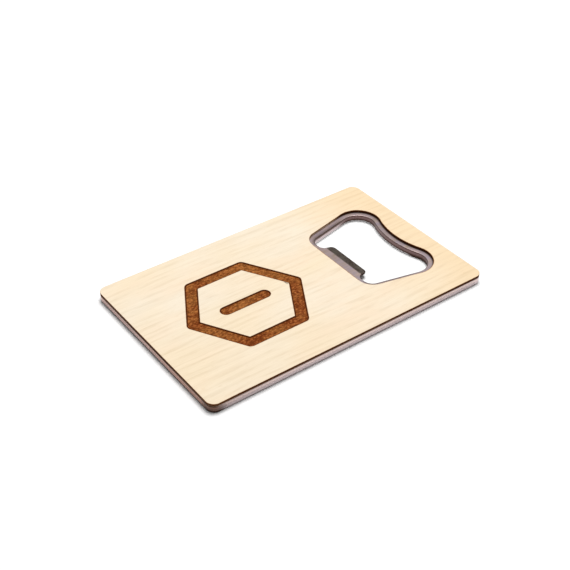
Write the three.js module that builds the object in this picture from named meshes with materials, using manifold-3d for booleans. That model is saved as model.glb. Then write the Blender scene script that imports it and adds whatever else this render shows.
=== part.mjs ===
// Bottle opener in the shape of a bank card: a stainless steel plate with a maple veneer bonded to
// its top face by an adhesive film.
//
// Units are millimetres and +Z is up. The origin is the centre of the plate's underside, +X runs
// along the card towards the opening for the bottle cap, and +Y runs across the card. Both halves
// of the card, on either side of the XZ plane, are alike.

import * as THREE from 'three';
import { mergeVertices } from 'three/addons/utils/BufferGeometryUtils.js';
import Module from 'manifold-3d';

// The card's outline.
const CARD_LENGTH = 85.6;
const CARD_WIDTH = 53.98;
const CARD_CORNER_RADIUS = 2.3;

// The stack, from the bottom up.
const PLATE_THICKNESS = 2.0;
const FILM_THICKNESS = 0.13;
const VENEER_THICKNESS = 0.6;
const FILM_BASE = PLATE_THICKNESS;
const VENEER_BASE = FILM_BASE + FILM_THICKNESS;

const PLATE_EDGE_BREAK = 0.15; // chamfer along every edge of the plate

// The opening in the plate: a straight back edge that carries the lip, two straight flanks that
// spread apart, two round lobes, and between the lobes an end wall that bulges inwards as a nose.
const BACK_X = 16.0;
const BACK_CORNER_RADIUS = 2.8;
const FLANK_ANGLE = THREE.MathUtils.degToRad(13);
const LOBE_X = 31.3;
const LOBE_Y = 10.85;
const LOBE_RADIUS = 4.9;
const NOSE_X = 34.1;
const VENEER_STEP = 1.5; // the veneer's and the film's opening is this much wider than the plate's

// The lip: a tongue that hooks under the cap's rim. It is thinned from below, and its top slopes
// down from a fold line to the tip.
const LIP_TIP_X = 19.5;
const LIP_FOLD_X = 17.45;
const LIP_ROOT_HALF_WIDTH = 7.6;
const LIP_TIP_HALF_WIDTH = 7.25;
const LIP_ROOT_RADIUS = 1.8;
const LIP_TIP_RADIUS = 1.2;
const LIP_THICKNESS = 0.8;
const LIP_TIP_DROP = 0.35;
const LIP_RAMP_LENGTH = 1.5; // the underside rises to the lip over this length behind the back edge
const LIP_CUT_HALF_WIDTH = LIP_ROOT_HALF_WIDTH + LIP_ROOT_RADIUS + 0.2;

// The engraved mark: a hexagonal ring around a bar with round ends.
const MARK_X = -14.7;
const MARK_HALF_LENGTH = 17.6; // centre to corner of the hexagon
const MARK_STROKE = 3.3;
const MARK_OUTER_RADIUS = MARK_STROKE / 2;
const MARK_INNER_RADIUS = 0.3;
const MARK_BAR_LENGTH = 15.0;
const MARK_DEPTH = 0.2;

const ARC_DIVISIONS = 5; // three.js draws every arc with twice this many straight pieces
const SHORTEST_EDGE = 0.001; // points closer than this count as one
const CUT_MARGIN = 1.0; // cutting bodies reach this far past the material they cut

const wasm = await Module();
wasm.setup();

// A three.js geometry as a solid that can be joined and cut.
function toSolid(geometry) {
  const bare = geometry.clone();
  bare.deleteAttribute('normal');
  bare.deleteAttribute('uv');
  const merged = mergeVertices(bare);
  return new wasm.Manifold(new wasm.Mesh({
    numProp: 3,
    vertProperties: new Float32Array(merged.attributes.position.array),
    triVerts: new Uint32Array(merged.index.array),
  }));
}

// A solid back as a three.js geometry.
function toGeometry(solid) {
  const mesh = solid.getMesh();
  const geometry = new THREE.BufferGeometry();
  geometry.setAttribute('position', new THREE.BufferAttribute(mesh.vertProperties, 3));
  geometry.setIndex(new THREE.BufferAttribute(mesh.triVerts, 1));
  geometry.computeVertexNormals();
  return geometry;
}

// The points of a closed path, each place once.
function outlinePoints(path) {
  const points = path.getPoints(ARC_DIVISIONS);
  return points.filter((point, i) => point.distanceTo(points.at(i - 1)) > SHORTEST_EDGE);
}

// An area with straight and round edges, and holes in it.
function area(outline, ...holes) {
  const shape = new THREE.Shape(outlinePoints(outline));
  shape.holes = holes.map((hole) => new THREE.Path(outlinePoints(hole)));
  return shape;
}

// A flat sheet that stands on z = 0.
function sheet(shape, thickness) {
  return new THREE.ExtrudeGeometry(shape, { depth: thickness, bevelEnabled: false });
}

// A corner point of an outline and the radius that it is rounded to.
function corner(x, y, radius) {
  return { point: new THREE.Vector2(x, y), radius };
}

// Adds straight runs between rounded corners to a path. The first and last runs head for the
// points `before` and `after`, which are not drawn.
function addRoundedCorners(path, before, corners, after) {
  const stops = [before, ...corners.map((c) => c.point), after];
  corners.forEach(({ point, radius }, i) => {
    const back = stops[i].clone().sub(point).normalize();
    const ahead = stops[i + 2].clone().sub(point).normalize();
    const halfAngle = Math.acos(back.dot(ahead)) / 2;
    const reach = radius / Math.tan(halfAngle);
    const start = point.clone().addScaledVector(back, reach);
    const end = point.clone().addScaledVector(ahead, reach);
    const bisector = back.clone().add(ahead).normalize();
    const centre = point.clone().addScaledVector(bisector, radius / Math.sin(halfAngle));
    const startAngle = start.sub(centre).angle();
    const endAngle = end.sub(centre).angle();
    path.absarc(centre.x, centre.y, radius, startAngle, endAngle, back.cross(ahead) > 0);
  });
}

// A closed polygon with rounded corners.
function roundedPolygon(corners) {
  const path = new THREE.Path();
  addRoundedCorners(path, corners.at(-1).point, corners, corners[0].point);
  path.closePath();
  return path;
}

// The card's outline, which the plate, the film and the veneer share.
function cardOutline() {
  const halfLength = CARD_LENGTH / 2;
  const halfWidth = CARD_WIDTH / 2;
  return roundedPolygon([
    corner(-halfLength, -halfWidth, CARD_CORNER_RADIUS),
    corner(halfLength, -halfWidth, CARD_CORNER_RADIUS),
    corner(halfLength, halfWidth, CARD_CORNER_RADIUS),
    corner(-halfLength, halfWidth, CARD_CORNER_RADIUS),
  ]);
}

// The nose is a circle centred on the card's middle line that touches both lobes.
const noseReach = NOSE_X - LOBE_X;
const NOSE_RADIUS = (noseReach ** 2 + LOBE_Y ** 2 - LOBE_RADIUS ** 2) / (2 * (LOBE_RADIUS - noseReach));
const NOSE_CENTRE_X = NOSE_X + NOSE_RADIUS;

// Each back corner is a circle that touches the back edge and a flank.
const cornerSetback = LOBE_RADIUS - BACK_CORNER_RADIUS;
const BACK_CORNER_X = BACK_X + BACK_CORNER_RADIUS;
const BACK_CORNER_Y = LOBE_Y + cornerSetback * Math.cos(FLANK_ANGLE)
  + (BACK_CORNER_X - LOBE_X + cornerSetback * Math.sin(FLANK_ANGLE)) * Math.tan(FLANK_ANGLE);

// The opening's outline, made wider all round by `growth`. It starts and ends on the back edge.
function openingOutline(growth) {
  const flankEnd = Math.PI / 2 + FLANK_ANGLE;
  const touchAngle = Math.atan2(LOBE_Y, NOSE_CENTRE_X - LOBE_X);
  const cornerRadius = BACK_CORNER_RADIUS + growth;
  const lobeRadius = LOBE_RADIUS + growth;
  const path = new THREE.Path();
  path.absarc(BACK_CORNER_X, BACK_CORNER_Y, cornerRadius, Math.PI, flankEnd, true);
  path.absarc(LOBE_X, LOBE_Y, lobeRadius, flankEnd, -touchAngle, true);
  path.absarc(NOSE_CENTRE_X, 0, NOSE_RADIUS - growth, Math.PI - touchAngle, Math.PI + touchAngle);
  path.absarc(LOBE_X, -LOBE_Y, lobeRadius, touchAngle, -flankEnd, true);
  path.absarc(BACK_CORNER_X, -BACK_CORNER_Y, cornerRadius, -flankEnd, -Math.PI, true);
  return path;
}

// The plate's opening: the same outline with the lip standing on its back edge.
function openingWithLip() {
  const path = openingOutline(0);
  const corners = [
    corner(BACK_X, -LIP_ROOT_HALF_WIDTH, LIP_ROOT_RADIUS),
    corner(LIP_TIP_X, -LIP_TIP_HALF_WIDTH, LIP_TIP_RADIUS),
    corner(LIP_TIP_X, LIP_TIP_HALF_WIDTH, LIP_TIP_RADIUS),
    corner(BACK_X, LIP_ROOT_HALF_WIDTH, LIP_ROOT_RADIUS),
  ];
  const lowEnd = new THREE.Vector2(BACK_X, -BACK_CORNER_Y);
  const highEnd = new THREE.Vector2(BACK_X, BACK_CORNER_Y);
  addRoundedCorners(path, lowEnd, corners, highEnd);
  path.closePath();
  return path;
}

// A body that cuts across the lip's whole width. Its profile is a list of [x, z] points.
function lipCutter(profile) {
  const shape = new THREE.Shape(profile.map(([x, z]) => new THREE.Vector2(x, z)));
  const geometry = sheet(shape, 2 * LIP_CUT_HALF_WIDTH);
  geometry.rotateX(Math.PI / 2);
  geometry.translate(0, LIP_CUT_HALF_WIDTH, 0);
  return toSolid(geometry);
}

// Thins the lip from below, with a ramp behind it.
function lipUndercut() {
  const underside = PLATE_THICKNESS - LIP_THICKNESS;
  const rampFoot = BACK_X - LIP_RAMP_LENGTH;
  const beyondTip = LIP_TIP_X + CUT_MARGIN;
  return lipCutter([
    [rampFoot, -CUT_MARGIN],
    [beyondTip, -CUT_MARGIN],
    [beyondTip, underside],
    [BACK_X, underside],
    [rampFoot, 0],
  ]);
}

// Slopes the lip's top down from the fold line to the tip.
function lipSlope() {
  const beyondTip = LIP_TIP_X + CUT_MARGIN;
  const fall = LIP_TIP_DROP / (LIP_TIP_X - LIP_FOLD_X);
  const above = PLATE_THICKNESS + CUT_MARGIN;
  return lipCutter([
    [LIP_FOLD_X, PLATE_THICKNESS],
    [beyondTip, PLATE_THICKNESS - fall * (beyondTip - LIP_FOLD_X)],
    [beyondTip, above],
    [LIP_FOLD_X, above],
  ]);
}

// The stainless steel plate, with its opening and lip.
function steelPlate() {
  const blank = new THREE.ExtrudeGeometry(area(cardOutline(), openingWithLip()), {
    depth: PLATE_THICKNESS - 2 * PLATE_EDGE_BREAK,
    bevelThickness: PLATE_EDGE_BREAK,
    bevelSize: PLATE_EDGE_BREAK,
    bevelOffset: -PLATE_EDGE_BREAK,
    bevelSegments: 1,
  });
  blank.translate(0, 0, PLATE_EDGE_BREAK);
  const plate = toSolid(blank).subtract(lipUndercut()).subtract(lipSlope());
  const steel = new THREE.MeshStandardMaterial({ color: 0xb9b2b2, roughness: 0.32, metalness: 1.0 });
  return new THREE.Mesh(toGeometry(plate), steel);
}

// The veneer's face without its mark. The film is cut with the veneer, so it has the same shape.
function faceArea() {
  const opening = openingOutline(VENEER_STEP);
  opening.closePath();
  return area(cardOutline(), opening);
}

// The adhesive film between the plate and the veneer.
function adhesiveFilm() {
  const film = sheet(faceArea(), FILM_THICKNESS);
  const glue = new THREE.MeshStandardMaterial({ color: 0xd9d2bd, roughness: 0.6, metalness: 0.0 });
  return new THREE.Mesh(film, glue);
}

// A hexagon with two corners on the middle line and a flat on either side.
function hexagon(halfLength, cornerRadius) {
  const corners = [];
  for (let i = 0; i < 6; i += 1) {
    const angle = i * Math.PI / 3;
    corners.push(corner(MARK_X + halfLength * Math.cos(angle), halfLength * Math.sin(angle), cornerRadius));
  }
  return roundedPolygon(corners);
}

// The bar in the middle of the mark.
function markBar() {
  const halfStroke = MARK_STROKE / 2;
  const halfRun = MARK_BAR_LENGTH / 2 - halfStroke;
  const path = new THREE.Path();
  path.absarc(MARK_X + halfRun, 0, halfStroke, -Math.PI / 2, Math.PI / 2);
  path.absarc(MARK_X - halfRun, 0, halfStroke, Math.PI / 2, -Math.PI / 2);
  path.closePath();
  return path;
}

// The engraved pocket, as a body to cut from the veneer's top face.
function engraving() {
  const innerHalfLength = MARK_HALF_LENGTH - MARK_STROKE / Math.cos(Math.PI / 6);
  const outer = hexagon(MARK_HALF_LENGTH, MARK_OUTER_RADIUS);
  const inner = hexagon(innerHalfLength, MARK_INNER_RADIUS);
  const height = MARK_DEPTH + CUT_MARGIN;
  const ring = toSolid(sheet(area(outer, inner), height));
  const bar = toSolid(sheet(area(markBar()), height));
  return ring.add(bar).translate(0, 0, VENEER_THICKNESS - MARK_DEPTH);
}

// The maple veneer, with the engraved mark in its top face.
function woodVeneer() {
  const veneer = toSolid(sheet(faceArea(), VENEER_THICKNESS)).subtract(engraving());
  const maple = new THREE.MeshStandardMaterial({ color: 0xfbe7c9, roughness: 0.65, metalness: 0.0 });
  return new THREE.Mesh(toGeometry(veneer), maple);
}

const opener = new THREE.Group();

const plate = steelPlate();
plate.name = 'steel_plate';
opener.add(plate);

const film = adhesiveFilm();
film.name = 'adhesive_film';
film.position.z = FILM_BASE;
opener.add(film);

const veneer = woodVeneer();
veneer.name = 'wood_veneer';
veneer.position.z = VENEER_BASE;
opener.add(veneer);

export default opener;
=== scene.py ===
"""Looks of the card bottle opener: a stainless plate, a maple veneer and the adhesive film between.

All lengths are in metres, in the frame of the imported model. The origin is the centre of the
plate's underside, +X runs along the card towards the opening, +Y across it, and +Z is up.
"""

import math

import bmesh
import bpy
import numpy as np
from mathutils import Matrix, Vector
from mathutils.geometry import delaunay_2d_cdt
from mathutils.noise import noise as solid_noise


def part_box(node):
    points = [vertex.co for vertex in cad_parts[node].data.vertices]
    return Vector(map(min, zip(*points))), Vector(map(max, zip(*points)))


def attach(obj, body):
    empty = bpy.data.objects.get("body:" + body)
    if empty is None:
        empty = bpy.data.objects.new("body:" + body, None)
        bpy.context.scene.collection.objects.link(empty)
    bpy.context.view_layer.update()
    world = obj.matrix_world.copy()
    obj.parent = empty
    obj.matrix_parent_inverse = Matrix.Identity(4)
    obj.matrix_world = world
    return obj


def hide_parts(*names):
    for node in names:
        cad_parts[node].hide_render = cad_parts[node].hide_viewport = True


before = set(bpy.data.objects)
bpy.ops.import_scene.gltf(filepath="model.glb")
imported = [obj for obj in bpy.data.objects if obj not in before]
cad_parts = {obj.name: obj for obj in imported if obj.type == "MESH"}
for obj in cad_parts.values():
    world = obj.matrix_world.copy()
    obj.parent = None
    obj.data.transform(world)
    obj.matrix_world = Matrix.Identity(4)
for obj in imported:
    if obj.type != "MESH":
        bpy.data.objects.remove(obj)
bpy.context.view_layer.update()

MM = 0.001
QUARTER = math.pi / 2

# ---------------------------------------------------------------------------------------------
# Sizes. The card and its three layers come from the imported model, and so do these values for
# the opening, the lip and the mark.
# ---------------------------------------------------------------------------------------------
plate_low, plate_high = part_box("steel_plate")
film_low, film_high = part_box("adhesive_film")
veneer_low, veneer_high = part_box("wood_veneer")

HALF_LENGTH = (plate_high.x - plate_low.x) / 2
HALF_WIDTH = (plate_high.y - plate_low.y) / 2
CARD_RADIUS = 2.3 * MM
PLATE_TOP = plate_high.z
VENEER_TOP = veneer_high.z

BACK_X = 16.0 * MM
BACK_RADIUS = 2.8 * MM
FLANK_ANGLE = math.radians(13)
LOBE_X = 31.3 * MM
LOBE_Y = 10.85 * MM
LOBE_RADIUS = 4.9 * MM
NOSE_X = 34.1 * MM
VENEER_STEP = 1.5 * MM

LIP_TIP_X = 19.5 * MM
LIP_FOLD_X = 17.45 * MM
LIP_ROOT_HALF_WIDTH = 7.6 * MM
LIP_TIP_HALF_WIDTH = 7.25 * MM
LIP_ROOT_RADIUS = 1.8 * MM
LIP_TIP_RADIUS = 1.2 * MM
LIP_THICKNESS = 0.8 * MM
LIP_TIP_DROP = 0.35 * MM
LIP_RAMP_LENGTH = 1.5 * MM
LIP_CUT_HALF_WIDTH = LIP_ROOT_HALF_WIDTH + LIP_ROOT_RADIUS + 0.2 * MM

MARK_X = -14.7 * MM
MARK_HALF_LENGTH = 17.6 * MM
MARK_STROKE = 3.3 * MM
MARK_OUTER_RADIUS = MARK_STROKE / 2
MARK_INNER_RADIUS = 0.3 * MM
MARK_BAR_LENGTH = 15.0 * MM
MARK_DEPTH = 0.2 * MM

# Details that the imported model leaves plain.
STEEL_ROUND = 0.15 * MM
STEEL_FOOT_ROUND = 0.1 * MM
ROLL_ROUND = 0.15 * MM
ROLL_FOOT_ROUND = 0.3 * MM
BURNISH_SHARE = 0.45  # share of a cut steel wall that is smooth, from the top down
BURNISH_LEDGE = 0.025 * MM  # how far the rough part of the wall stands back
LIP_FOLD_BLEND = 0.12 * MM
LIP_SIDE_RAMP = 0.8 * MM
WOOD_ROUND = 0.04 * MM
WALL_SLANT = 0.05 * MM  # how far an engraved wall leans in
FILM_SETBACK = 0.03 * MM
FLOOR_RELIEF = 0.012 * MM

# How finely outlines and surfaces are divided.
ARC_STEP = math.radians(4)
CARD_STEP = 1.0 * MM
OPENING_STEP = 0.25 * MM
MARK_STEP = 0.5 * MM
LIP_GRID = 0.3 * MM
POCKET_GRID = 0.4 * MM
SAME_POINT = 0.001 * MM
SMOOTH_ANGLE = math.radians(40)


# ---------------------------------------------------------------------------------------------
# Outlines. Each is a closed list of points, with the material on the left of its direction.
# ---------------------------------------------------------------------------------------------
def arc(x, y, radius, start, end):
    """Points of an arc from one angle to another, both ends included."""
    steps = max(2, math.ceil(abs(end - start) / ARC_STEP))
    angles = [start + (end - start) * i / steps for i in range(steps + 1)]
    return [Vector((x + radius * math.cos(a), y + radius * math.sin(a))) for a in angles]


def rounded_run(before, corners, after):
    """Points of a run through (x, y, radius) corners, from the side of `before` to that of `after`."""
    spots = [Vector(before)] + [Vector(c[:2]) for c in corners] + [Vector(after)]
    points = []
    for i, (_, _, radius) in enumerate(corners):
        spot = spots[i + 1]
        back = (spots[i] - spot).normalized()
        ahead = (spots[i + 2] - spot).normalized()
        half_angle = back.angle(ahead) / 2
        centre = spot + (back + ahead).normalized() * (radius / math.sin(half_angle))
        first = spot + back * (radius / math.tan(half_angle)) - centre
        last = spot + ahead * (radius / math.tan(half_angle)) - centre
        start = math.atan2(first.y, first.x)
        turn = math.remainder(math.atan2(last.y, last.x) - start, math.tau)
        points += arc(centre.x, centre.y, radius, start, start + turn)
    return points


def closed(points, step):
    """A closed outline without doubled points, whose straight runs are divided."""
    kept = [p for i, p in enumerate(points) if (p - points[i - 1]).length > SAME_POINT]
    outline = []
    for i, start in enumerate(kept):
        end = kept[(i + 1) % len(kept)]
        pieces = max(1, math.ceil((end - start).length / step))
        outline += [start.lerp(end, j / pieces) for j in range(pieces)]
    return outline


def offset(outline, distance):
    """The outline moved by `distance` to its left, into the material."""
    moved = []
    for i, point in enumerate(outline):
        before = (point - outline[i - 1]).normalized()
        after = (outline[(i + 1) % len(outline)] - point).normalized()
        left = Vector((-before.y - after.y, before.x + after.x)) / 2
        moved.append(point + left * (distance / left.length_squared))
    return moved


def rounded_polygon(corners, step):
    return closed(rounded_run(corners[-1][:2], corners, corners[0][:2]), step)


def card_outline():
    return rounded_polygon(
        [
            (-HALF_LENGTH, -HALF_WIDTH, CARD_RADIUS),
            (HALF_LENGTH, -HALF_WIDTH, CARD_RADIUS),
            (HALF_LENGTH, HALF_WIDTH, CARD_RADIUS),
            (-HALF_LENGTH, HALF_WIDTH, CARD_RADIUS),
        ],
        CARD_STEP,
    )


# The nose is a circle on the card's middle line that touches both lobes. Each back corner is a
# circle that touches the back edge and a flank.
nose_reach = NOSE_X - LOBE_X
NOSE_RADIUS = (nose_reach**2 + LOBE_Y**2 - LOBE_RADIUS**2) / (2 * (LOBE_RADIUS - nose_reach))
NOSE_CENTRE_X = NOSE_X + NOSE_RADIUS
corner_setback = LOBE_RADIUS - BACK_RADIUS
CORNER_X = BACK_X + BACK_RADIUS
CORNER_Y = (
    LOBE_Y
    + corner_setback * math.cos(FLANK_ANGLE)
    + (CORNER_X - LOBE_X + corner_setback * math.sin(FLANK_ANGLE)) * math.tan(FLANK_ANGLE)
)


def opening_run(growth):
    """The opening's outline from end to end of its back edge, wider all round by `growth`."""
    flank_end = QUARTER + FLANK_ANGLE
    touch = math.atan2(LOBE_Y, NOSE_CENTRE_X - LOBE_X)
    back_radius = BACK_RADIUS + growth
    lobe_radius = LOBE_RADIUS + growth
    points = arc(CORNER_X, CORNER_Y, back_radius, math.pi, flank_end)
    points += arc(LOBE_X, LOBE_Y, lobe_radius, flank_end, -touch)
    points += arc(NOSE_CENTRE_X, 0, NOSE_RADIUS - growth, math.pi - touch, math.pi + touch)
    points += arc(LOBE_X, -LOBE_Y, lobe_radius, touch, -flank_end)
    points += arc(CORNER_X, -CORNER_Y, back_radius, -flank_end, -math.pi)
    return points


def plate_opening():
    """The opening with the lip standing on its back edge."""
    lip = [
        (BACK_X, -LIP_ROOT_HALF_WIDTH, LIP_ROOT_RADIUS),
        (LIP_TIP_X, -LIP_TIP_HALF_WIDTH, LIP_TIP_RADIUS),
        (LIP_TIP_X, LIP_TIP_HALF_WIDTH, LIP_TIP_RADIUS),
        (BACK_X, LIP_ROOT_HALF_WIDTH, LIP_ROOT_RADIUS),
    ]
    run = rounded_run((BACK_X, -CORNER_Y), lip, (BACK_X, CORNER_Y))
    return closed(opening_run(0) + run, OPENING_STEP)


def veneer_opening():
    return closed(opening_run(VENEER_STEP), 2 * OPENING_STEP)


# The veneer's cut edge, divided finely enough to measure distances from it.
VENEER_CUT = closed(opening_run(VENEER_STEP), OPENING_STEP)


def hexagon(half_length, radius, turn):
    """A hexagon of the mark, with its material inside if `turn` is 1 and outside if it is -1."""
    angles = [turn * i * math.pi / 3 for i in range(6)]
    corners = [
        (MARK_X + half_length * math.cos(a), half_length * math.sin(a), radius) for a in angles
    ]
    return rounded_polygon(corners, MARK_STEP)


def mark_bar():
    half_stroke = MARK_STROKE / 2
    half_run = MARK_BAR_LENGTH / 2 - half_stroke
    right_end = arc(MARK_X + half_run, 0, half_stroke, QUARTER, -QUARTER)
    left_end = arc(MARK_X - half_run, 0, half_stroke, -QUARTER, -3 * QUARTER)
    return closed(right_end + left_end, MARK_STEP)


# ---------------------------------------------------------------------------------------------
# Meshes. A wall is a stack of rings, and a cap is a flat area between rings.
# ---------------------------------------------------------------------------------------------
def between(points, loops):
    """Which points lie in the area that the loops enclose. A loop inside another is a hole."""
    x, y = np.array(points).T[:, :, None]
    crossings = np.zeros(len(points), int)
    for loop in loops:
        start = np.array(loop)
        end = np.roll(start, -1, axis=0)
        rise = end[:, 1] - start[:, 1]
        rise[rise == 0] = SAME_POINT
        spans = (start[:, 1] > y) != (end[:, 1] > y)
        crossing_x = start[:, 0] + (y - start[:, 1]) * (end[:, 0] - start[:, 0]) / rise
        crossings += (spans & (x < crossing_x)).sum(axis=1)
    return crossings % 2 == 1


def grid_spots(xs, ys, loops, gap):
    """The grid's points that lie between the loops, and at least `gap` from their vertices."""
    points = np.array([(x, y) for x in xs for y in ys])
    points = points[between(points, loops)]
    corners = np.concatenate([np.array(loop) for loop in loops])
    for corner in corners:
        points = points[np.hypot(*(points - corner).T) > gap]
    return [Vector(p) for p in points]


def even_steps(low, high, step):
    return np.linspace(low, high, round((high - low) / step) + 1)


def rounding(radius, z, side, steps=4):
    """(offset, height) steps round an edge, downwards. `side` is 1 for a top edge, -1 for a foot."""
    angles = [QUARTER * i / steps for i in range(steps + 1)]
    curve = [(radius * (1 - math.sin(a)), z - side * radius * (1 - math.cos(a))) for a in angles]
    return curve if side > 0 else curve[::-1]


class Shell:
    """A closed mesh in the making, whose vertices carry named values from 0 to 1."""

    def __init__(self, *marks):
        self.mesh = bmesh.new()
        self.layers = {mark: self.mesh.verts.layers.float.new(mark) for mark in marks}

    def vertex(self, point, z, **marks):
        made = self.mesh.verts.new((point.x, point.y, z))
        for name, value in marks.items():
            made[self.layers[name]] = value(point) if callable(value) else value
        return made

    def wall(self, outline, profile):
        """Joins rings at (offset, height, marks) steps, from the top down. Returns the end rings."""
        rings = [
            [self.vertex(p, z, **marks) for p in offset(outline, distance)]
            for distance, z, marks in profile
        ]
        for upper, lower in zip(rings, rings[1:]):
            for i in range(len(upper)):
                j = (i + 1) % len(upper)
                self.mesh.faces.new((upper[i], lower[i], lower[j], upper[j]))
        return rings[0], rings[-1]

    def cap(self, rings, up, spots=(), **marks):
        """Fills the flat area between the rings, with more vertices at `spots`."""
        z = rings[0][0].co.z
        verts = [v for ring in rings for v in ring]
        edges = []
        for ring in rings:
            start = len(edges)
            edges += [(start + i, start + (i + 1) % len(ring)) for i in range(len(ring))]
        verts += [self.vertex(spot, z, **marks) for spot in spots]
        flat = [v.co.xy / MM for v in verts]
        _, _, triangles, origin, _, _ = delaunay_2d_cdt(flat, edges, [], 0, 1e-6)
        corners = [[verts[origin[i][0]] for i in triangle] for triangle in triangles]
        middles = [sum((v.co.xy for v in c), Vector((0, 0))) / 3 for c in corners]
        kept = between(middles, [[v.co.xy for v in ring] for ring in rings])
        for triangle, keep in zip(corners, kept):
            if keep:
                self.mesh.faces.new(triangle if up else triangle[::-1])

    def finish(self, name, node, material):
        """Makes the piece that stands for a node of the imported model."""
        data = bpy.data.meshes.new(name)
        self.mesh.normal_update()
        self.mesh.to_mesh(data)
        self.mesh.free()
        data.shade_smooth()
        data.set_sharp_from_angle(angle=SMOOTH_ANGLE)
        data.materials.append(material)
        piece = bpy.data.objects.new(name, data)
        bpy.context.scene.collection.objects.link(piece)
        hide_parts(node)
        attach(piece, "root")
        return piece


def fade(value, start, end):
    """Runs smoothly from 0 at `start` to 1 at `end`."""
    t = min(max((value - start) / (end - start), 0.0), 1.0)
    return t * t * (3 - 2 * t)


# ---------------------------------------------------------------------------------------------
# Shader nodes.
# ---------------------------------------------------------------------------------------------
def new_material(name, **settings):
    """A material with one Principled shader. `settings` are values of the shader's own inputs."""
    material = bpy.data.materials.new(name)
    material.use_nodes = True
    tree = material.node_tree
    shader = next(n for n in tree.nodes if n.type == "BSDF_PRINCIPLED")
    for socket, value in settings.items():
        shader.inputs[socket.replace("_", " ")].default_value = value
    return material, tree, shader


def add(tree, kind, inputs, **settings):
    """A new node. `inputs` gives each input a value, or another node's output to read."""
    node = tree.nodes.new(kind)
    for name, value in settings.items():
        setattr(node, name, value)
    for key, value in inputs.items():
        if isinstance(value, bpy.types.NodeSocket):
            tree.links.new(value, node.inputs[key])
        else:
            node.inputs[key].default_value = value
    return node


def place(tree):
    """Where a point is on the card, in millimetres."""
    spot = add(tree, "ShaderNodeTexCoord", {})
    return stretched(tree, spot.outputs["Object"], (1 / MM, 1 / MM, 1 / MM))


def stretched(tree, vector, scale):
    return add(tree, "ShaderNodeMapping", {"Vector": vector, "Scale": scale}).outputs[0]


def grain(tree, vector, frequency, detail=2.0, roughness=0.5, distortion=0.0):
    """Noise from 0 to 1, with `frequency` in cycles per millimetre along each axis."""
    inputs = {
        "Vector": stretched(tree, vector, frequency),
        "Scale": 1.0,
        "Detail": detail,
        "Roughness": roughness,
        "Distortion": distortion,
    }
    return add(tree, "ShaderNodeTexNoise", inputs).outputs[0]


def remap(tree, value, from_low, from_high, to_low=0.0, to_high=1.0, smooth=False):
    inputs = {0: value, 1: from_low, 2: from_high, 3: to_low, 4: to_high}
    kind = "SMOOTHSTEP" if smooth else "LINEAR"
    return add(tree, "ShaderNodeMapRange", inputs, interpolation_type=kind).outputs[0]


def maths(tree, operation, *values):
    inputs = dict(enumerate(values))
    return add(tree, "ShaderNodeMath", inputs, operation=operation).outputs[0]


def blended(tree, factor, first, second, mode="MIX"):
    node = add(tree, "ShaderNodeMix", {}, data_type="RGBA", blend_type=mode)
    for key, value in {0: factor, 6: first, 7: second}.items():
        if isinstance(value, bpy.types.NodeSocket):
            tree.links.new(value, node.inputs[key])
        else:
            node.inputs[key].default_value = value
    return node.outputs[2]


def mark_value(tree, name):
    return add(tree, "ShaderNodeAttribute", {}, attribute_name=name).outputs["Fac"]


def bumped(tree, shader, height, strength, depth):
    """Gives the shader a relief that is `depth` metres high."""
    inputs = {"Height": height, "Strength": strength, "Distance": depth}
    tree.links.new(add(tree, "ShaderNodeBump", inputs).outputs[0], shader.inputs["Normal"])


def colour(red, green, blue):
    return (red, green, blue, 1.0)


# ---------------------------------------------------------------------------------------------
# Stainless steel plate: its material.
# ---------------------------------------------------------------------------------------------
CLEAN_DARK = colour(0.52, 0.50, 0.485)
CLEAN_PALE = colour(0.64, 0.615, 0.60)
CLEAN_STREAK = colour(0.70, 0.68, 0.665)
SCRATCHED = colour(0.36, 0.34, 0.33)
FUMED_DARK = colour(0.365, 0.28, 0.28)
FUMED_PALE = colour(0.465, 0.37, 0.37)
FUMED_CLOUD = colour(0.42, 0.32, 0.295)
VIOLET_SMEAR = colour(0.36, 0.295, 0.33)
BROWN_SMEAR = colour(0.38, 0.29, 0.23)
CUT_DARK = colour(0.59, 0.465, 0.435)
CUT_PALE = colour(0.73, 0.58, 0.55)
TORN_DARK = colour(0.57, 0.475, 0.475)
TORN_PALE = colour(0.71, 0.60, 0.61)
# A warm tint that darkens the short side of the outer edge.
WARM_TINT = colour(1.0, 0.74, 0.60)
# Inside the opening: a darker cut surface with painted shade on it.
DULL_SHADED_DARK = colour(0.11, 0.066, 0.062)
DULL_SHADED_PALE = colour(0.26, 0.165, 0.160)
# Painted reflection: the near-white foot of the opening's walls stands for the floor seen in them.
PAINTED_REFLECTION_DARK = colour(0.82, 0.79, 0.79)
PAINTED_REFLECTION_PALE = colour(0.93, 0.91, 0.91)
# Painted dark reflection: the lip's coined slope is near black.
PRESSED_SHADED_DARK = colour(0.058, 0.044, 0.036)
PRESSED_SHADED_PALE = colour(0.125, 0.100, 0.082)
HAMMERED_PALE = colour(0.125, 0.115, 0.090)
HAMMERED_DARK = colour(0.045, 0.028, 0.020)
# Painted shade on the walls, rims and feet, with painted contact shadows, and some darkening.
GRIME_AND_SHADE = colour(0.095, 0.052, 0.040)
DARK_GRIME_AND_SHADE = colour(0.045, 0.022, 0.014)
# Soot and painted shade: the laser's soot, painted shade where the veneer meets the steel, and the
# lip's near-black edge.
STEEL_SOOT_AND_SHADE = colour(0.036, 0.015, 0.007)

CLEAN_BELOW = 0.4 * PLATE_TOP / MM
FUMED_ABOVE = 0.6 * PLATE_TOP / MM
FACE_METALLIC = 0.6  # the faces are dusty and tumbled, so they look less metallic than cut walls
STEEL_RELIEF = 0.008 * MM


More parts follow.
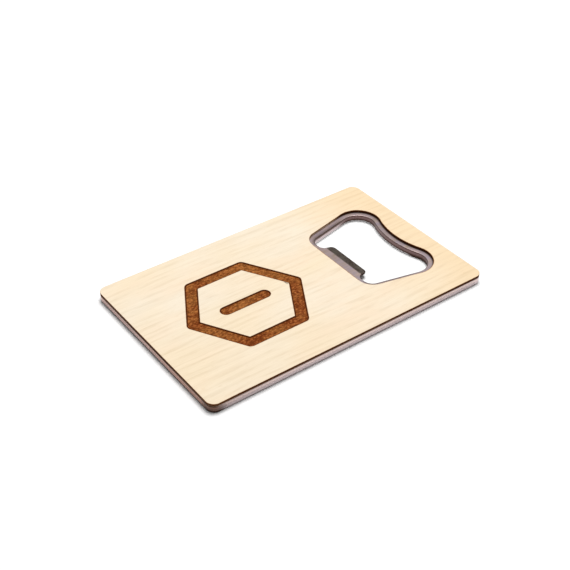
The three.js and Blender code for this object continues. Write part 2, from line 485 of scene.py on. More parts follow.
def steel_face(tree, spot, brushing, clouds, streaks, scratches):
    """Colour of the flat faces: clean underneath, and browned by the laser's fumes on top."""
    clean = blended(tree, brushing, CLEAN_DARK, CLEAN_PALE)
    clean = blended(tree, remap(tree, streaks, 0.35, 0.65), clean, CLEAN_STREAK)
    clean = blended(tree, scratches, clean, SCRATCHED)
    smears = grain(tree, spot, (0.28, 0.45, 0.45), detail=3.0, roughness=0.6)
    fumed = blended(tree, brushing, FUMED_DARK, FUMED_PALE)
    fumed = blended(tree, remap(tree, clouds, 0.35, 0.75), fumed, FUMED_CLOUD)
    fumed = blended(tree, remap(tree, smears, 0.48, 0.66), fumed, VIOLET_SMEAR)
    fumed = blended(tree, remap(tree, smears, 0.46, 0.32), fumed, BROWN_SMEAR)
    height = add(tree, "ShaderNodeSeparateXYZ", {0: spot}).outputs["Z"]
    return blended(tree, remap(tree, height, CLEAN_BELOW, FUMED_ABOVE), clean, fumed)


def steel_wall(tree, shearing, rough_cut):
    """Colour of the cut walls: bright or warm-tinted outside, and in the opening darker with painted
    shade, or painted near white at the foot as a reflection of the floor.
    """
    wall = blended(tree, shearing, CUT_DARK, CUT_PALE)
    torn = blended(tree, shearing, TORN_DARK, TORN_PALE)
    dull_shaded = blended(tree, shearing, DULL_SHADED_DARK, DULL_SHADED_PALE)
    bright = blended(tree, shearing, PAINTED_REFLECTION_DARK, PAINTED_REFLECTION_PALE)
    wall = blended(tree, rough_cut, wall, torn)
    wall = blended(tree, mark_value(tree, "warm_tinted"), wall, WARM_TINT, "MULTIPLY")
    # Inside the opening the walls are darker, with painted shade.
    wall = blended(tree, mark_value(tree, "inner"), wall, dull_shaded)
    return blended(tree, mark_value(tree, "painted_reflection"), wall, bright)


def shaded_pressed_steel(tree, spot, tumbling):
    """Colour of the lip's coined slope: near black, a painted dark reflection."""
    hammered = grain(tree, spot, (0.8, 0.8, 0.8), detail=3.0, roughness=0.6)
    pressed = blended(tree, tumbling, PRESSED_SHADED_DARK, PRESSED_SHADED_PALE)
    pressed = blended(tree, remap(tree, hammered, 0.50, 0.66), pressed, HAMMERED_PALE)
    return blended(tree, remap(tree, hammered, 0.48, 0.34), pressed, HAMMERED_DARK)


def steel_material():
    material, tree, shader = new_material("stainless_steel")
    spot = place(tree)
    cut = mark_value(tree, "cut")
    rough_cut = mark_value(tree, "rough_cut")

    brushing = grain(tree, spot, (0.15, 9.0, 9.0), detail=3.0, roughness=0.6)
    tumbling = grain(tree, spot, (2.2, 2.2, 2.2), detail=4.0, roughness=0.65)
    shearing = grain(tree, spot, (6.0, 6.0, 0.5), detail=3.0, roughness=0.6)
    clouds = grain(tree, spot, (0.07, 0.1, 0.1), detail=3.0, roughness=0.55)
    streaks = grain(tree, spot, (0.012, 1.1, 1.1), detail=4.0, roughness=0.7)
    scratches = remap(tree, grain(tree, spot, (0.35, 14.0, 14.0), detail=1.0), 0.70, 0.78)

    face = steel_face(tree, spot, brushing, clouds, streaks, scratches)
    base = blended(tree, cut, face, steel_wall(tree, shearing, rough_cut))
    # The lip's slope, painted near black as a dark reflection.
    base = blended(tree, mark_value(tree, "coined"), base, shaded_pressed_steel(tree, spot, tumbling))
    # Painted shade and painted contact shadows on the walls, rims and feet.
    shade_grime_colour = blended(tree, shearing, GRIME_AND_SHADE, DARK_GRIME_AND_SHADE)
    base = blended(tree, mark_value(tree, "shade_and_grime"), base, shade_grime_colour)
    # Soot, and painted shade where the veneer meets the steel.
    base = blended(tree, mark_value(tree, "sooty"), base, STEEL_SOOT_AND_SHADE)
    tree.links.new(base, shader.inputs["Base Color"])
    tree.links.new(remap(tree, cut, 0.0, 1.0, FACE_METALLIC, 1.0), shader.inputs["Metallic"])

    gloss = remap(tree, brushing, 0.3, 0.7, 0.28, 0.40)
    gloss = maths(tree, "ADD", gloss, remap(tree, clouds, 0.4, 0.7, 0.0, 0.08))
    gloss = maths(tree, "ADD", gloss, maths(tree, "MULTIPLY", rough_cut, 0.12))
    gloss = maths(tree, "ADD", gloss, remap(tree, streaks, 0.4, 0.6, -0.02, 0.02))
    gloss = maths(tree, "SUBTRACT", gloss, maths(tree, "MULTIPLY", scratches, 0.08))
    tree.links.new(gloss, shader.inputs["Roughness"])

    on_face = maths(tree, "SUBTRACT", 1.0, cut)
    relief = maths(tree, "MULTIPLY", brushing, on_face)
    relief = maths(tree, "ADD", relief, maths(tree, "MULTIPLY", shearing, cut))
    relief = maths(tree, "SUBTRACT", relief, maths(tree, "MULTIPLY", scratches, on_face))
    relief = maths(tree, "ADD", relief, maths(tree, "MULTIPLY", tumbling, 0.35))
    bumped(tree, shader, relief, 0.35, STEEL_RELIEF)
    return material


# ---------------------------------------------------------------------------------------------
# Stainless steel plate: where its marks are. Each function gives a mark's value at a point.
# ---------------------------------------------------------------------------------------------
SOOT_FULL = 0.1 * MM  # how far from the veneer's cut edge the soot on the steel stays thick
SOOT_REACH = 0.2 * MM  # where it ends
SOOT_EXTRA_REACH = 0.35 * MM  # how much further it reaches round the lobes and the nose


def on_flank(point):
    """1 along the opening's two flanks and 0 along its lobes, nose and lip."""
    side = fade(abs(point.y), LIP_CUT_HALF_WIDTH, LIP_CUT_HALF_WIDTH + MM)
    return side * (1 - fade(point.x, LOBE_X - 5 * MM, LOBE_X))


def off_flank(point):
    return 1 - on_flank(point)


def on_far_lobe(point):
    """1 on the lobe at the -Y side and 0 elsewhere round the opening."""
    past_flank = fade(point.x, LOBE_X - 2 * MM, LOBE_X)
    return past_flank * (1 - fade(point.y, 3 * MM - LOBE_Y, 5 * MM - LOBE_Y))


def off_far_lobe(point):
    return 1 - on_far_lobe(point)


def on_lip(point):
    """1 on the lip's own edge and 0 elsewhere round the opening."""
    side = fade(abs(point.y), LIP_CUT_HALF_WIDTH, LIP_CUT_HALF_WIDTH + MM)
    return (1 - side) * (1 - fade(point.x, LIP_TIP_X, LIP_TIP_X + MM))


def on_short_side(point):
    """1 on the card's edge at the -X end and 0 on its other edges."""
    return 1 - fade(point.x, MM - HALF_LENGTH, 3 * MM - HALF_LENGTH)


def near_corner(point, reach):
    """1 on the corner at the -X and -Y end, falling to 0 at `reach` from it."""
    corner = Vector((-HALF_LENGTH, -HALF_WIDTH))
    return 1 - fade((point - corner).length, CARD_RADIUS, reach)


def near_corner_darkening(point):
    """Darkening on the outer edge, thick on the near corner and thin for a while past it."""
    return 0.60 * near_corner(point, 5 * MM) + 0.20 * near_corner(point, 24 * MM)


def warm_tint_amount(point):
    """How strongly the outer edge is warm-tinted: only the short side, and less so towards its far
    end.
    """
    return on_short_side(point) * (1 - 0.5 * fade(point.y, -18 * MM, 8 * MM))


def top_soot_and_shade(share):
    """Soot and painted shade on the outer edge's top rounding, where the steel meets the veneer.
    `share` is 0 at the face and 1 at the wall.
    """
    return lambda point: 1 - share * (0.6 - 0.6 * on_short_side(point))


def short_side_band(point):
    """Darkening of the outer wall right below the rounding, on the short side only."""
    return 0.85 * on_short_side(point)


def shade_above_foot(point):
    """Painted shade low on the outer wall, a little above its foot, strongest round the near corner.
    """
    return max(near_corner_darkening(point), near_corner(point, 5 * MM))


def painted_foot_shadow(point):
    """Painted contact shadow along the foot of the outer wall, darkest on the short side and the near
    corner.
    """
    return max(0.4, on_short_side(point), near_corner(point, 6 * MM))


def painted_ledge_shade(point):
    """Painted shade on the top face along the flanks, just outside the opening's rim."""
    return 0.35 * on_flank(point)


def painted_rim_shade(share):
    """Painted shade on the opening's top rounding, which dims its highlight. `share` is 0 at the face
    and 1 at the wall.
    """
    return lambda point: max(
        share * (0.5 + 0.5 * on_flank(point)), 0.7 * on_flank(point), share * on_lip(point)
    )


def painted_shade_under_rim(point):
    """Painted shade on the opening's wall, right below the rounding."""
    return max(0.65 + 0.35 * on_flank(point), on_lip(point))


def painted_mid_wall_shade(point):
    """Painted shade halfway down the smooth part of the opening's wall, on the flanks and the lip."""
    return max(0.6 * on_flank(point), on_lip(point))


def painted_low_wall_shade(point):
    """Painted shade low on the opening's wall, above the rolled foot, except on the flanks."""
    return max(off_flank(point), on_lip(point))


def painted_roll_shade(point):
    """Painted shade on the opening's rolled foot, at the lip and the far lobe."""
    return max(on_lip(point), on_far_lobe(point))


def ledge_soot(point):
    """The laser's soot on the steel: thick along the veneer's cut edge and gone a little way off."""
    gap = min((point - cut).length for cut in VENEER_CUT)
    reach = SOOT_REACH + SOOT_EXTRA_REACH * fade(point.x, LOBE_X - 3 * MM, LOBE_X)
    return 0.9 * off_flank(point) * (1 - fade(gap, SOOT_FULL, reach))


# ---------------------------------------------------------------------------------------------
# Stainless steel plate: its shape.
# ---------------------------------------------------------------------------------------------
# Offsets from the veneer's cut edge at which the plate's top face has more vertices.
SOOT_SPOTS = (-0.55 * MM, -0.4 * MM, -0.25 * MM, -0.1 * MM, 0.0, 0.1 * MM)

FACE_MARGIN = 0.1 * MM  # width of the flat strip beside a rounding
RIM_MARGIN = 0.35 * MM  # the same beside the opening's rim, where the painted shade is wider
TEAR_HALF_HEIGHT = 0.04 * MM  # half the height of the step from smooth to torn

# Where the marks change on a wall: depths below the top rounding, heights above the foot rounding.
EDGE_BAND_DEPTH = 0.12 * MM
EDGE_CLEAN_DEPTH = 0.35 * MM
# Painted shade on the walls starts and thickens at the heights and depths below.
EDGE_SHADE_FADE_HEIGHT = 0.60 * MM
EDGE_SHADE_HEIGHT = 0.35 * MM
EDGE_FOOT_SHADE_HEIGHT = 0.10 * MM
RIM_SHADE_DEPTH = 0.12 * MM
RIM_MID_SHADE_DEPTH = 0.40 * MM
ROLL_SHADE_FADE_HEIGHT = 0.75 * MM
ROLL_SHADE_TOP = 0.35 * MM
ROLL_SHADE_FOOT = 0.15 * MM

LIP_START_X = BACK_X - 2 * MM  # behind this line the plate isn't pressed
LIP_DARKENING_START_X = BACK_X - 1.8 * MM
LIP_DARKENING = 0.15


def steel_tear(radius):
    """Height of the line where a cut steel wall turns from smooth to torn."""
    return PLATE_TOP - radius - BURNISH_SHARE * (PLATE_TOP - 2 * radius)


def outer_steel_edge():
    """The plate's outer edge, from its top face to its underside."""
    top = PLATE_TOP - STEEL_ROUND
    tear = steel_tear(STEEL_ROUND)
    smooth = {"cut": 1.0, "warm_tinted": warm_tint_amount, "shade_and_grime": near_corner_darkening}
    torn = {**smooth, "rough_cut": 1.0}
    shaded_low = {**torn, "shade_and_grime": painted_foot_shadow}
    steps = [(STEEL_ROUND + FACE_MARGIN, PLATE_TOP, {"sooty": 1.0})]
    for distance, z in rounding(STEEL_ROUND, PLATE_TOP, 1):
        share = 1 - distance / STEEL_ROUND
        steps.append((distance, z, {"cut": share, "sooty": top_soot_and_shade(share)}))
    steps += [
        (0.0, top - EDGE_BAND_DEPTH, {**smooth, "sooty": short_side_band}),
        (0.0, top - EDGE_CLEAN_DEPTH, smooth),
        (0.0, tear + TEAR_HALF_HEIGHT, smooth),
        (BURNISH_LEDGE, tear - TEAR_HALF_HEIGHT, torn),
        (BURNISH_LEDGE, STEEL_FOOT_ROUND + EDGE_SHADE_FADE_HEIGHT, torn),
        # Painted shade above the foot, then a painted contact shadow along it.
        (BURNISH_LEDGE, STEEL_FOOT_ROUND + EDGE_SHADE_HEIGHT, {**torn, "shade_and_grime": shade_above_foot}),
        (BURNISH_LEDGE, STEEL_FOOT_ROUND + EDGE_FOOT_SHADE_HEIGHT, shaded_low),
    ]
    for distance, z in rounding(STEEL_FOOT_ROUND, 0.0, -1):
        steps.append((distance + BURNISH_LEDGE, z, shaded_low))
    steps.append((BURNISH_LEDGE + STEEL_FOOT_ROUND + FACE_MARGIN, 0.0, {}))
    return steps


def inner_steel_edge():
    """The opening's edge: rolled over at the top, darker below that with painted shade, and rolled
    again at the foot, which carries a painted reflection of the floor.
    """
    top = PLATE_TOP - ROLL_ROUND
    # The lip's own edge is darkened near black.
    smooth = {"cut": 1.0, "inner": 1.0, "sooty": on_lip}
    torn = {"cut": 1.0, "inner": off_flank, "rough_cut": 1.0, "sooty": on_lip}
    shaded_low = {**torn, "shade_and_grime": painted_low_wall_shade}
    # The rolled foot carries a painted reflection of the floor, except on the far lobe, which is
    # darker with painted shade.
    rolled = {"cut": 1.0, "inner": on_far_lobe, "rough_cut": 1.0, "painted_reflection": off_far_lobe}
    steps = [(ROLL_ROUND + RIM_MARGIN, PLATE_TOP, {"shade_and_grime": painted_ledge_shade})]
    for distance, z in rounding(ROLL_ROUND, PLATE_TOP, 1):
        share = 1 - distance / ROLL_ROUND
        steps.append((distance, z, {"cut": share, "inner": share, "shade_and_grime": painted_rim_shade(share)}))
    steps += [
        # Painted shade below the rim, fading halfway down, and again towards the foot.
        (0.0, top - RIM_SHADE_DEPTH, {**smooth, "shade_and_grime": painted_shade_under_rim}),
        (0.0, top - RIM_MID_SHADE_DEPTH, {**smooth, "shade_and_grime": painted_mid_wall_shade}),
        (BURNISH_LEDGE, ROLL_FOOT_ROUND + ROLL_SHADE_FADE_HEIGHT, {**torn, "shade_and_grime": on_lip}),
        (BURNISH_LEDGE, ROLL_FOOT_ROUND + ROLL_SHADE_TOP, shaded_low),
        (BURNISH_LEDGE, ROLL_FOOT_ROUND + ROLL_SHADE_FOOT, shaded_low),
    ]
    for distance, z in rounding(ROLL_FOOT_ROUND, 0.0, -1):
        steps.append((distance + BURNISH_LEDGE, z, {**rolled, "shade_and_grime": painted_roll_shade}))
    steps.append((BURNISH_LEDGE + ROLL_FOOT_ROUND + FACE_MARGIN, 0.0, {}))
    return steps


def soot_spots(others):
    """Points along the veneer's cut edge, where the soot on the steel comes and goes."""
    spots = []
    for distance in SOOT_SPOTS:
        spots += offset(VENEER_CUT, distance)[::2]
    return [spot for spot in spots if min((spot - other).length for other in others) > SAME_POINT]


def press_lip(shell):
    """Thins the lip from below and slopes its top, as coining does."""
    fall = LIP_TIP_DROP / (LIP_TIP_X - LIP_FOLD_X)
    for vertex in shell.mesh.verts:
        x, y, z = vertex.co
        if abs(y) > LIP_CUT_HALF_WIDTH or not LIP_START_X < x < LIP_TIP_X + MM:
            continue
        past_fold = max(x - LIP_FOLD_X + LIP_FOLD_BLEND, 0.0)
        run = past_fold - LIP_FOLD_BLEND
        if past_fold < 2 * LIP_FOLD_BLEND:
            run = past_fold**2 / (4 * LIP_FOLD_BLEND)
        across = 1 - fade(abs(y), LIP_CUT_HALF_WIDTH - LIP_SIDE_RAMP, LIP_CUT_HALF_WIDTH)
        top = PLATE_TOP - fall * run
        bottom = (PLATE_TOP - LIP_THICKNESS) * across * fade(x, BACK_X - LIP_RAMP_LENGTH, BACK_X)
        vertex.co.z = bottom + (top - bottom) * z / PLATE_TOP
        vertex[shell.layers["coined"]] = fade(
            x, LIP_FOLD_X - 2 * LIP_FOLD_BLEND, LIP_FOLD_X - LIP_FOLD_BLEND
        )
        # Darkens the lip a little.
        if vertex[shell.layers["shade_and_grime"]] == 0:
            darkening = LIP_DARKENING * across * fade(x, LIP_DARKENING_START_X, BACK_X - MM)
            vertex[shell.layers["shade_and_grime"]] = darkening


def build_plate(material):
    shell = Shell("cut", "rough_cut", "inner", "sooty", "coined", "shade_and_grime", "painted_reflection", "warm_tinted")
    ends = [
        shell.wall(card_outline(), outer_steel_edge()),
        shell.wall(plate_opening(), inner_steel_edge()),
    ]
    fold = [LIP_FOLD_X + side * LIP_FOLD_BLEND for side in (-1, 0, 1)]
    xs = [*even_steps(LIP_START_X, fold[0] - LIP_GRID, LIP_GRID), *fold]
    xs += list(even_steps(fold[-1] + LIP_GRID, LIP_TIP_X, LIP_GRID))
    ys = even_steps(-LIP_CUT_HALF_WIDTH - MM, LIP_CUT_HALF_WIDTH + MM, LIP_GRID)
    for side, up in ((0, True), (1, False)):
        rings = [end[side] for end in ends]
        loops = [[v.co.xy for v in ring] for ring in rings]
        spots = grid_spots(xs, ys, loops, LIP_GRID / 2)
        if up:
            shell.cap(rings, up, spots + soot_spots(spots), sooty=ledge_soot)
        else:
            shell.cap(rings, up, spots)
    press_lip(shell)
    return shell.finish("plate_body", "steel_plate", material)


# ---------------------------------------------------------------------------------------------
# Adhesive film.
# ---------------------------------------------------------------------------------------------
AMBER_DARK = colour(0.36, 0.22, 0.12)
AMBER_PALE = colour(0.50, 0.33, 0.20)
SOOTY_DARK = colour(0.055, 0.028, 0.014)
SOOTY_PALE = colour(0.16, 0.09, 0.05)
SOOTY_CLOUD = colour(0.04, 0.02, 0.01)
FILM_RELIEF = 0.01 * MM


def film_material():
    material, tree, shader = new_material("adhesive", IOR=1.48, Specular_IOR_Level=0.1)
    spot = place(tree)
    streaks = grain(tree, spot, (3.0, 3.0, 1.0), detail=3.0)
    clouds = grain(tree, spot, (0.12, 0.12, 0.12), detail=2.0)
    amber = blended(tree, streaks, AMBER_DARK, AMBER_PALE)
    soot = blended(tree, streaks, SOOTY_DARK, SOOTY_PALE)
    soot = blended(tree, remap(tree, clouds, 0.4, 0.8), soot, SOOTY_CLOUD)
    base = blended(tree, mark_value(tree, "sooty"), amber, soot)
    tree.links.new(base, shader.inputs["Base Color"])
    tree.links.new(remap(tree, streaks, 0.3, 0.7, 0.3, 0.5), shader.inputs["Roughness"])
    bumped(tree, shader, streaks, 0.4, FILM_RELIEF)
    return material


def build_film(material):
    shell = Shell("sooty")
    middle = (film_low.z + film_high.z) / 2
    soot = {"sooty": off_flank}
    profile = [
        (FILM_SETBACK, film_high.z, soot),
        (FILM_SETBACK * 2, middle, soot),
        (FILM_SETBACK, film_low.z, soot),
    ]
    ends = [shell.wall(outline, profile) for outline in (card_outline(), veneer_opening())]
    shell.cap([end[0] for end in ends], True)
    shell.cap([end[1] for end in ends], False)
    return shell.finish("film_sheet", "adhesive_film", material)


# ---------------------------------------------------------------------------------------------
# Maple veneer: its material, with burnt edges and an engraved mark.
# ---------------------------------------------------------------------------------------------
PALE_WOOD = colour(0.775, 0.655, 0.485)
CREAM_WOOD = colour(0.775, 0.685, 0.555)
ROSY_WOOD = colour(0.795, 0.650, 0.490)
WARM_WOOD = colour(0.775, 0.605, 0.395)
BAND_TINT = colour(0.955, 0.945, 0.930)
LINE_TINT = colour(0.930, 0.916, 0.892)
FIBRE_TINT = colour(0.930, 0.920, 0.900)
FLECK_TINT = colour(0.900, 0.850, 0.780)
TOASTED = colour(0.330, 0.140, 0.045)
RED_BROWN = colour(0.195, 0.044, 0.009)
OLIVE_BROWN = colour(0.285, 0.099, 0.023)
LIGHT_BROWN = colour(0.520, 0.195, 0.055)
DARK_BROWN = colour(0.050, 0.010, 0.001)
CHAR_BROWN = colour(0.100, 0.023, 0.003)
CHAR_BLACK = colour(0.042, 0.009, 0.0015)

# All in millimetres.
RING_SPACING = 2.1
DRIFT = 1.6  # how far the fibres wander to either side
WARM_START_X = 12.0
WARM_END_X = 44.0

WOOD_RELIEF = 0.012 * MM


def growth_lines(tree, flow):
    """Soft lines where the growth rings meet the face, which come and go along the fibres."""
    across = add(tree, "ShaderNodeSeparateXYZ", {0: flow}).outputs["Y"]
    uneven = grain(tree, flow, (0.014, 0.14, 0.14), detail=3.0, roughness=0.6)
    shift = maths(tree, "MULTIPLY", uneven, 3.0)
    turns = maths(tree, "MULTIPLY_ADD", across, 1 / RING_SPACING, shift)
    wave = maths(tree, "SINE", maths(tree, "MULTIPLY", turns, math.tau))
    late = remap(tree, wave, -0.3, 1.0, smooth=True)
    presence = grain(tree, flow, (0.13, 0.5, 0.5), detail=2.0)
    return maths(tree, "MULTIPLY", late, remap(tree, presence, 0.38, 0.66, 0.0, 1.1))


def clean_wood(tree, spot, flow, fibres, flecks, lines):
    """Colour of the bare maple."""
    bands = grain(tree, flow, (0.035, 0.9, 0.9), detail=3.0, roughness=0.6)
    patches = grain(tree, spot, (0.035, 0.055, 0.05), detail=2.0)
    tints = grain(tree, flow, (0.05, 0.16, 0.16), detail=2.0)
    along = add(tree, "ShaderNodeSeparateXYZ", {0: spot}).outputs["X"]
    warm_end = remap(tree, along, WARM_START_X, WARM_END_X, 0.0, 0.85, smooth=True)
    wood = blended(tree, remap(tree, patches, 0.35, 0.65), PALE_WOOD, CREAM_WOOD)
    wood = blended(tree, remap(tree, tints, 0.45, 0.75, 0.0, 0.7), wood, ROSY_WOOD)
    wood = blended(tree, warm_end, wood, WARM_WOOD)
    wood = blended(tree, remap(tree, bands, 0.35, 0.75), wood, BAND_TINT, "MULTIPLY")
    wood = blended(tree, lines, wood, LINE_TINT, "MULTIPLY")
    wood = blended(tree, remap(tree, fibres, 0.3, 0.75), wood, FIBRE_TINT, "MULTIPLY")
    return blended(tree, maths(tree, "MULTIPLY", flecks, 0.7), wood, FLECK_TINT, "MULTIPLY")


def engraved_ground(tree, spot, raster, speckle):
    """Colour of the engraving's ground: brown, mottled, with the laser's raster lines."""
    mottle = grain(tree, spot, (0.16, 0.22, 0.22), detail=4.0, roughness=0.6)
    ground = blended(tree, remap(tree, mottle, 0.40, 0.60), RED_BROWN, OLIVE_BROWN)
    ground = blended(tree, remap(tree, speckle, 0.50, 0.30, 0.0, 0.7), ground, LIGHT_BROWN)
    ground = blended(tree, remap(tree, speckle, 0.46, 0.61, 0.0, 0.62), ground, DARK_BROWN)
    return blended(tree, remap(tree, raster, 0.5, 0.75, 0.0, 0.5), ground, DARK_BROWN)


def maple_material():
    material, tree, shader = new_material("maple_veneer", Specular_IOR_Level=0.03)
    spot = place(tree)
    engraved = mark_value(tree, "engraved")
    charred = mark_value(tree, "charred")

    # The fibres run along X and drift a little from side to side.
    drift = grain(tree, spot, (0.012, 0.04, 0.04), detail=2.0)
    sideways = remap(tree, drift, 0.0, 1.0, -DRIFT, DRIFT)
    shift = add(tree, "ShaderNodeCombineXYZ", {"Y": sideways}).outputs[0]
    flow = add(tree, "ShaderNodeVectorMath", {0: spot, 1: shift}, operation="ADD").outputs[0]

    lines = growth_lines(tree, flow)
    fibres = grain(tree, flow, (0.16, 4.0, 4.0), detail=3.0, roughness=0.65)
    flecks = remap(tree, grain(tree, flow, (0.55, 6.5, 6.5), detail=1.0), 0.66, 0.76)
    raster = grain(tree, spot, (0.6, 5.0, 5.0), detail=2.0)
    speckle = grain(tree, spot, (1.5, 2.2, 2.2), detail=3.0, roughness=0.7)

    # A little charring only toasts the wood, and more of it turns the wood near black.
    ragged = maths(tree, "ADD", charred, remap(tree, speckle, 0.25, 0.75, -0.16, 0.16))
    toast = remap(tree, ragged, 0.17, 0.50, smooth=True)
    burn = remap(tree, ragged, 0.35, 0.85, smooth=True)
    wood = clean_wood(tree, spot, flow, fibres, flecks, lines)
    surface = blended(tree, toast, wood, TOASTED)
    surface = blended(tree, engraved, surface, engraved_ground(tree, spot, raster, speckle))
    surface = blended(tree, burn, surface, blended(tree, speckle, CHAR_BLACK, CHAR_BROWN))
    tree.links.new(surface, shader.inputs["Base Color"])

    roughness = remap(tree, fibres, 0.3, 0.7, 0.52, 0.66)
    roughness = maths(tree, "ADD", roughness, maths(tree, "MULTIPLY", engraved, 0.2))
    roughness = maths(tree, "ADD", roughness, maths(tree, "MULTIPLY", flecks, 0.08))
    tree.links.new(roughness, shader.inputs["Roughness"])

    relief = maths(tree, "SUBTRACT", fibres, maths(tree, "MULTIPLY", flecks, 0.6))
    relief = maths(tree, "SUBTRACT", relief, maths(tree, "MULTIPLY", lines, 0.3))
    scorched = maths(tree, "MULTIPLY", maths(tree, "ADD", raster, speckle), 1.6)
    relief = blended(tree, engraved, relief, scorched)
    bumped(tree, shader, relief, 0.3, WOOD_RELIEF)
    return material


# ---------------------------------------------------------------------------------------------
# Maple veneer: its shape.
# ---------------------------------------------------------------------------------------------
CARD_HALO = 0.12 * MM  # width of the toasted halo along the outer edge
OPENING_HALO = 0.24 * MM
HALO_CHAR = 0.14
BURN_HEIGHTS = (1.0, 0.62, 0.35, 0.0)  # where a wall's burn changes: 1 is its top, 0 its foot
CORNER_REACH = 8 * MM  # how far the lighter burn of the near corner reaches

MARK_HALO_END = 0.26 * MM
MARK_HALO = 0.12 * MM
MARK_RIM = 0.04 * MM
MARK_BAND = 0.03 * MM  # height of the steep bands at the top and the foot of an engraved wall
CHAR_WIDTH = 0.28 * MM  # how far the black along a wall runs onto the ground
CHAR_END = 0.52 * MM


def varied(level, change, where):
    """A mark that is `level`, and `level` plus `change` at the points where `where` gives 1."""
    return lambda point: level + change * where(point)


def by_corner(point):
    return near_corner(point, CORNER_REACH)


def card_burns():
    """The outer edge: brown at the top, near black from halfway down, lighter on the near corner."""
    foot = varied(1.0, -0.15, by_corner)
    return [varied(0.62, -0.15, by_corner), varied(0.90, -0.22, by_corner), foot, foot]


def opening_burns():
    """The opening's edge: black round the lobes and nose, and toasted only near the top on flanks."""
    return [varied(1, change, on_flank) for change in (-0.45, -0.45, -0.70, -0.78)]


def rim_burn(share, burn):
    return lambda point: share * burn(point)


def burnt_edge(halo, burns):
    """The profile of a laser-cut edge: a toasted halo on the top face, then the wall's burn.

    `burns` are the burn's depths from 0 to 1, as functions of a point, at BURN_HEIGHTS.
    """
    low, high = veneer_low.z, veneer_high.z
    steps = [(3 * halo, high, {}), (halo, high, {"charred": HALO_CHAR})]
    for distance, z in rounding(WOOD_ROUND, high, 1, steps=3):
        share = 0.5 + 0.5 * (1 - distance / WOOD_ROUND)
        steps.append((distance, z, {"charred": rim_burn(share, burns[0])}))
    for height, burn in zip(BURN_HEIGHTS[1:], burns[1:]):
        steps.append((0.0, low + height * (high - low), {"charred": burn}))
    return steps


def engraved_edge():
    """The profile of a wall of the engraving, from the top face down to the ground."""
    high = veneer_high.z
    ground = high - MARK_DEPTH
    burnt = {"charred": 1.0, "engraved": 1.0}
    return [
        (MARK_HALO_END, high, {}),
        (MARK_HALO, high, {"charred": 0.27}),
        (MARK_RIM, high, {"charred": 0.50, "engraved": 0.4}),
        (0.0, high - MARK_BAND, burnt),
        (-WALL_SLANT * 0.8, ground + MARK_BAND, burnt),
        (-WALL_SLANT * 1.6, ground, burnt),
        (-CHAR_WIDTH, ground, {"charred": 0.80, "engraved": 1.0}),
        (-CHAR_END, ground, {"charred": 0.0, "engraved": 1.0}),
    ]


def build_veneer(material):
    shell = Shell("engraved", "charred")
    card = shell.wall(card_outline(), burnt_edge(CARD_HALO, card_burns()))
    opening = shell.wall(veneer_opening(), burnt_edge(OPENING_HALO, opening_burns()))
    shell.cap([card[1], opening[1]], False, charred=0.0)

    inner_half_length = MARK_HALF_LENGTH - MARK_STROKE / math.cos(math.pi / 6)
    edge = engraved_edge()
    outer = shell.wall(hexagon(MARK_HALF_LENGTH, MARK_OUTER_RADIUS, -1), edge)
    inner = shell.wall(hexagon(inner_half_length, MARK_INNER_RADIUS, 1), edge)
    bar = shell.wall(mark_bar(), edge)
    shell.cap([card[0], opening[0], outer[0]], True)
    shell.cap([inner[0], bar[0]], True)

    xs = even_steps(MARK_X - MARK_HALF_LENGTH, MARK_X + MARK_HALF_LENGTH, POCKET_GRID)
    ys = even_steps(-MARK_HALF_LENGTH, MARK_HALF_LENGTH, POCKET_GRID)
    for rings in ([outer[1], inner[1]], [bar[1]]):
        loops = [[v.co.xy for v in ring] for ring in rings]
        spots = grid_spots(xs, ys, loops, POCKET_GRID / 2)
        shell.cap(rings, True, spots, engraved=1.0)
    roughen_ground(shell, veneer_high.z - MARK_DEPTH)
    return shell.finish("veneer_face", "wood_veneer", material)


def roughen_ground(shell, ground):
    """Gives the engraving's ground the small hollows that a laser burns between fibres."""
    for vertex in shell.mesh.verts:
        if abs(vertex.co.z - ground) < SAME_POINT and vertex[shell.layers["engraved"]] == 1.0:
            spot = Vector((vertex.co.x * 0.7, vertex.co.y * 1.6, 0.0)) / MM
            vertex.co.z += FLOOR_RELIEF * solid_noise(spot)


# ---------------------------------------------------------------------------------------------
# Floor, light and camera.
# ---------------------------------------------------------------------------------------------
FLOOR_HALF_SIZE = 1.6
FLOOR_GAP = 0.01 * MM
FLOOR_DARK = colour(0.83, 0.83, 0.83)
FLOOR_PALE = colour(0.86, 0.86, 0.86)
ROOM_COLOUR = colour(1.0, 1.0, 1.0)
ROOM_BRIGHTNESS = 0.25

AIM = Vector((-2.35 * MM, -0.15 * MM, VENEER_TOP))
CAMERA_AZIMUTH = math.radians(-36.27)
CAMERA_ELEVATION = math.radians(37.37)
CAMERA_DISTANCE = 282.81 * MM
CAMERA_LENS = 68.68
CAMERA_SENSOR = 36.0


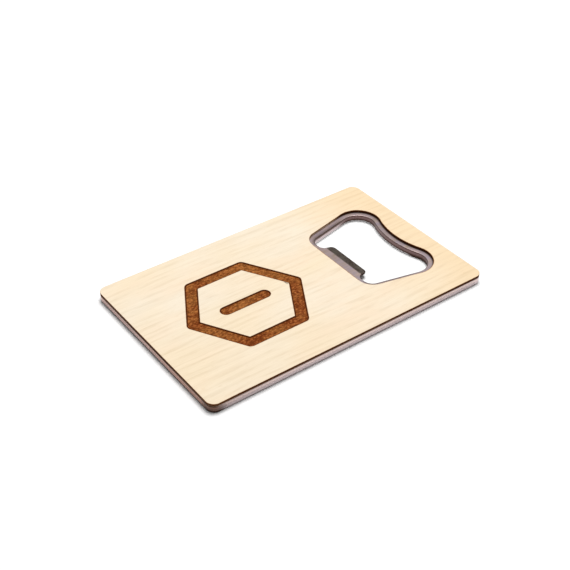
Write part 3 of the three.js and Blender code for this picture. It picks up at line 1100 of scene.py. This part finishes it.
def build_floor():
    material, tree, shader = new_material("pale_floor", Roughness=0.85)
    weave = grain(tree, place(tree), (0.02, 0.02, 0.02), detail=3.0)
    paper = blended(tree, weave, FLOOR_DARK, FLOOR_PALE)
    tree.links.new(paper, shader.inputs["Base Color"])
    mesh = bmesh.new()
    bmesh.ops.create_grid(mesh, x_segments=8, y_segments=8, size=FLOOR_HALF_SIZE)
    data = bpy.data.meshes.new("floor")
    mesh.to_mesh(data)
    mesh.free()
    data.materials.append(material)
    floor = bpy.data.objects.new("floor", data)
    floor.location.z = plate_low.z - FLOOR_GAP
    bpy.context.scene.collection.objects.link(floor)


def aim(item, spot):
    item.rotation_euler = (spot - item.location).to_track_quat("-Z", "Y").to_euler()


def add_panel(name, azimuth, elevation, distance, size, brightness):
    """A soft square panel of light that faces the card. `brightness` is its radiance."""
    light = bpy.data.lights.new(name, "AREA")
    light.shape = "SQUARE"
    light.size = size
    light.energy = brightness * size**2 * math.pi
    panel = bpy.data.objects.new(name, light)
    turn, lift = math.radians(azimuth), math.radians(elevation)
    direction = Vector(
        (math.cos(lift) * math.cos(turn), math.cos(lift) * math.sin(turn), math.sin(lift))
    )
    panel.location = direction * distance
    bpy.context.scene.collection.objects.link(panel)
    aim(panel, Vector((0, 0, 0)))


def add_lights():
    add_panel("key", azimuth=38, elevation=76, distance=0.9, size=0.45, brightness=14.9)
    add_panel("fill", azimuth=-130, elevation=65, distance=1.0, size=0.7, brightness=0.25)
    world = bpy.data.worlds.new("studio")
    world.use_nodes = True
    background = world.node_tree.nodes["Background"]
    background.inputs["Color"].default_value = ROOM_COLOUR
    background.inputs["Strength"].default_value = ROOM_BRIGHTNESS
    bpy.context.scene.world = world
    bpy.context.scene.view_settings.view_transform = "Standard"


def add_camera():
    lens = bpy.data.cameras.new("camera")
    lens.lens = CAMERA_LENS
    lens.sensor_width = CAMERA_SENSOR
    lens.clip_start = MM
    camera = bpy.data.objects.new("camera", lens)
    away = Vector(
        (
            math.sin(CAMERA_AZIMUTH) * math.cos(CAMERA_ELEVATION),
            -math.cos(CAMERA_AZIMUTH) * math.cos(CAMERA_ELEVATION),
            math.sin(CAMERA_ELEVATION),
        )
    )
    camera.location = AIM + away * CAMERA_DISTANCE
    bpy.context.scene.collection.objects.link(camera)
    aim(camera, AIM)
    bpy.context.scene.camera = camera


add_camera()
add_lights()
build_floor()
build_plate(steel_material())
build_film(film_material())
build_veneer(maple_material())
